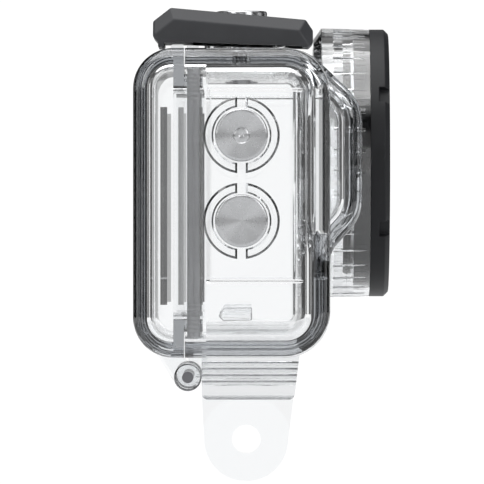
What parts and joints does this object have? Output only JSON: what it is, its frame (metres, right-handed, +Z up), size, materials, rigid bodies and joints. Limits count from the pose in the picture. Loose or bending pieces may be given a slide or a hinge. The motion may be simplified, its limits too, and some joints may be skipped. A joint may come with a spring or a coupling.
{
  "type": "waterproof action camera housing",
  "caption": "Clear waterproof dive housing for an action camera, with a swing-down rear door, latch lever, round lens port, push buttons and a two-prong mount.",
  "frame": {"origin": "centre of the mounting finger's bore", "axes": "+Z up; -Y towards the lens side, +Y towards the rear door; +X away from the two side buttons, along the mount's bore"},
  "size_m": [0.0812, 0.0453, 0.0841],
  "materials": {
    "clear_shell": "clear polished polycarbonate",
    "lens_pane": "clear flat optical pane",
    "black_ring": "satin black moulded plastic",
    "grey_lever": "dark grey moulded plastic",
    "silicone": "grey translucent silicone",
    "silicone_black": "black silicone",
    "locator_pad": "smoked clear pad",
    "button_metal": "circular-brushed anodised aluminium",
    "dark_steel": "dark stainless steel",
    "spring_steel": "bright spring steel"
  },
  "bodies": {
    "housing": {"front_housing": "clear_shell", "lens_port": "clear_shell", "lens_window": "lens_pane", "lens_window_seal": "silicone", "lens_ring": "black_ring", "hinge_pin": "dark_steel", "latch_arm_pin": "dark_steel", "camera_locators": "locator_pad", "upper_side_button_spring": "spring_steel", "lower_side_button_spring": "spring_steel", "shutter_button_spring": "spring_steel"},
    "door": {"back_door": "clear_shell", "door_gasket": "silicone"},
    "arm": {"latch_arm": "clear_shell", "latch_lever_pin": "dark_steel"},
    "lever": {"latch_lever": "grey_lever"},
    "upper_side_button": {"upper_side_button_cap": "button_metal", "upper_side_button_seal": "silicone_black", "upper_side_button_clip": "dark_steel", "upper_side_button_tip": "silicone_black"},
    "lower_side_button": {"lower_side_button_cap": "button_metal", "lower_side_button_seal": "silicone_black", "lower_side_button_clip": "dark_steel", "lower_side_button_tip": "silicone_black"},
    "shutter_button": {"shutter_button_cap": "button_metal", "shutter_button_seal": "silicone_black", "shutter_button_clip": "dark_steel", "shutter_button_tip": "silicone_black"}
  },
  "joints": [
    {"name": "door_swing", "type": "hinge", "parent": "housing", "child": "door", "pos_m": [0, 0.0103, 0.0113], "axis": [-1, 0, 0], "range_deg": [0, 110]},
    {"name": "arm_swing", "type": "hinge", "parent": "housing", "child": "arm", "pos_m": [-0.021, -0.006, 0.0707], "axis": [1, 0, 0], "range_deg": [0, 99]},
    {"name": "lever_flip", "type": "hinge", "parent": "arm", "child": "lever", "pos_m": [-0.021, 0.006, 0.0719], "axis": [-1, 0, 0], "range_deg": [0, 49.5]},
    {"name": "upper_button_press", "type": "slide", "parent": "housing", "child": "upper_side_button", "axis": [1, 0, 0], "range_m": [0, 0.0015], "stiffness_N_per_m": 600, "springref_m": -0.003, "deforming": ["upper_side_button_spring"]},
    {"name": "lower_button_press", "type": "slide", "parent": "housing", "child": "lower_side_button", "axis": [1, 0, 0], "range_m": [0, 0.0015], "stiffness_N_per_m": 600, "springref_m": -0.003, "deforming": ["lower_side_button_spring"]},
    {"name": "shutter_press", "type": "slide", "parent": "housing", "child": "shutter_button", "axis": [0, 0, -1], "range_m": [0, 0.0015], "stiffness_N_per_m": 600, "springref_m": -0.003, "deforming": ["shutter_button_spring"]}
  ],
  "couplings": [
    {"joint": "arm_swing", "follows": "door_swing", "ratio": 0.9},
    {"joint": "lever_flip", "follows": "door_swing", "ratio": 0.45}
  ]
}
